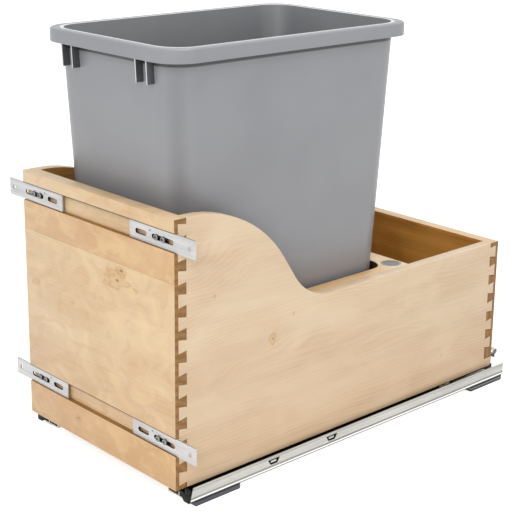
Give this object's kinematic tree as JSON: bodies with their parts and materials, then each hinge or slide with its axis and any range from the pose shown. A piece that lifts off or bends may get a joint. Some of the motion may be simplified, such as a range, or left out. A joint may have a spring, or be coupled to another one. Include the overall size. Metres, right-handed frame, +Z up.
{
  "type": "pull out trash cabinet",
  "caption": "Dovetailed wooden pull-out on full-extension undermount runners, holding a lift-out plastic waste bin in a cut-out platform, with plates for the cabinet door.",
  "frame": {"origin": "centre of the footprint at the underside of the four runner pads, where the unit stands on the cabinet floor", "axes": "+Z up, -Y towards the door side, the way the drawer pulls out, +X to the right of someone who faces the unit's back; the unit mirrors across X = 0"},
  "size_m": [0.3414, 0.5678, 0.4972],
  "materials": {
    "maple": "clear satin lacquer",
    "plywood": "clear satin lacquer",
    "grey_plastic": "satin moulded",
    "plate_steel": "satin",
    "zinc_steel": "bright zinc",
    "dark_plastic": "matt",
    "black_plastic": "satin",
    "nylon": "satin"
  },
  "bodies": {
    "cabinet_side": {"cabinet_runner_right": "zinc_steel", "runner_nose_right": "black_plastic", "front_pad_right": "dark_plastic", "rear_pad_right": "dark_plastic", "soft_close_housing_right": "black_plastic", "damper_right": "zinc_steel", "cabinet_runner_left": "zinc_steel", "runner_nose_left": "black_plastic", "front_pad_left": "dark_plastic", "rear_pad_left": "dark_plastic", "soft_close_housing_left": "black_plastic", "damper_left": "zinc_steel"},
    "drawer": {"front_panel": "maple", "back_panel": "maple", "side_panel_right": "maple", "side_panel_left": "maple", "bottom_panel": "plywood", "bin_platform": "maple", "platform_cleat_right": "maple", "platform_cap_right": "grey_plastic", "door_plate_lower_right": "plate_steel", "door_plate_screw_lower_right_1": "zinc_steel", "door_plate_screw_lower_right_2": "zinc_steel", "door_plate_upper_right": "plate_steel", "door_plate_screw_upper_right_1": "zinc_steel", "door_plate_screw_upper_right_2": "zinc_steel", "drawer_runner_right": "zinc_steel", "rear_hook_right": "zinc_steel", "striker_right": "zinc_steel", "front_lock_right": "zinc_steel", "lever_pin_right": "zinc_steel", "lock_screw_right": "zinc_steel", "platform_cleat_left": "maple", "platform_cap_left": "grey_plastic", "door_plate_lower_left": "plate_steel", "door_plate_screw_lower_left_1": "zinc_steel", "door_plate_screw_lower_left_2": "zinc_steel", "door_plate_upper_left": "plate_steel", "door_plate_screw_upper_left_1": "zinc_steel", "door_plate_screw_upper_left_2": "zinc_steel", "drawer_runner_left": "zinc_steel", "rear_hook_left": "zinc_steel", "striker_left": "zinc_steel", "front_lock_left": "zinc_steel", "lever_pin_left": "zinc_steel", "lock_screw_left": "zinc_steel"},
    "bin": {"bin": "grey_plastic"},
    "middle_right": {"middle_runner_right": "zinc_steel"},
    "lower_rollers_right": {"lower_roller_cage_right": "nylon"},
    "upper_rollers_right": {"upper_roller_cage_right": "nylon"},
    "catch_right": {"soft_close_catch_right": "nylon", "damper_rod_right": "zinc_steel"},
    "lever_right": {"release_lever_right": "black_plastic"},
    "middle_left": {"middle_runner_left": "zinc_steel"},
    "lower_rollers_left": {"lower_roller_cage_left": "nylon"},
    "upper_rollers_left": {"upper_roller_cage_left": "nylon"},
    "catch_left": {"soft_close_catch_left": "nylon", "damper_rod_left": "zinc_steel"},
    "lever_left": {"release_lever_left": "black_plastic"}
  },
  "joints": [
    {"name": "drawer_slide", "type": "slide", "parent": "cabinet_side", "child": "drawer", "axis": [0, -1, 0], "range_m": [0, 0.533]},
    {"name": "bin_lift", "type": "slide", "parent": "drawer", "child": "bin", "axis": [0, 0, 1], "range_m": [0, 0.46]},
    {"name": "middle_slide_right", "type": "slide", "parent": "cabinet_side", "child": "middle_right", "axis": [0, -1, 0], "range_m": [0, 0.2665]},
    {"name": "lower_rollers_slide_right", "type": "slide", "parent": "cabinet_side", "child": "lower_rollers_right", "axis": [0, -1, 0], "range_m": [0, 0.13325]},
    {"name": "upper_rollers_slide_right", "type": "slide", "parent": "cabinet_side", "child": "upper_rollers_right", "axis": [0, -1, 0], "range_m": [0, 0.39975]},
    {"name": "catch_slide_right", "type": "slide", "parent": "cabinet_side", "child": "catch_right", "axis": [0, -1, 0], "range_m": [0, 0.04]},
    {"name": "release_lever_turn_right", "type": "hinge", "parent": "drawer", "child": "lever_right", "pos_m": [0.0941, -0.22835, 0.0294], "axis": [-1, 0, 0], "range_deg": [0, 6], "stiffness_Nm_per_rad": 0.02, "springref_deg": -5.73},
    {"name": "middle_slide_left", "type": "slide", "parent": "cabinet_side", "child": "middle_left", "axis": [0, -1, 0], "range_m": [0, 0.2665]},
    {"name": "lower_rollers_slide_left", "type": "slide", "parent": "cabinet_side", "child": "lower_rollers_left", "axis": [0, -1, 0], "range_m": [0, 0.13325]},
    {"name": "upper_rollers_slide_left", "type": "slide", "parent": "cabinet_side", "child": "upper_rollers_left", "axis": [0, -1, 0], "range_m": [0, 0.39975]},
    {"name": "catch_slide_left", "type": "slide", "parent": "cabinet_side", "child": "catch_left", "axis": [0, -1, 0], "range_m": [0, 0.04]},
    {"name": "release_lever_turn_left", "type": "hinge", "parent": "drawer", "child": "lever_left", "pos_m": [-0.0941, -0.22835, 0.0294], "axis": [-1, 0, 0], "range_deg": [0, 6], "stiffness_Nm_per_rad": 0.02, "springref_deg": -5.73}
  ],
  "couplings": [
    {"joint": "middle_slide_right", "follows": "drawer_slide", "ratio": 0.5},
    {"joint": "lower_rollers_slide_right", "follows": "drawer_slide", "ratio": 0.25},
    {"joint": "upper_rollers_slide_right", "follows": "drawer_slide", "ratio": 0.75},
    {"joint": "middle_slide_left", "follows": "drawer_slide", "ratio": 0.5},
    {"joint": "lower_rollers_slide_left", "follows": "drawer_slide", "ratio": 0.25},
    {"joint": "upper_rollers_slide_left", "follows": "drawer_slide", "ratio": 0.75}
  ]
}
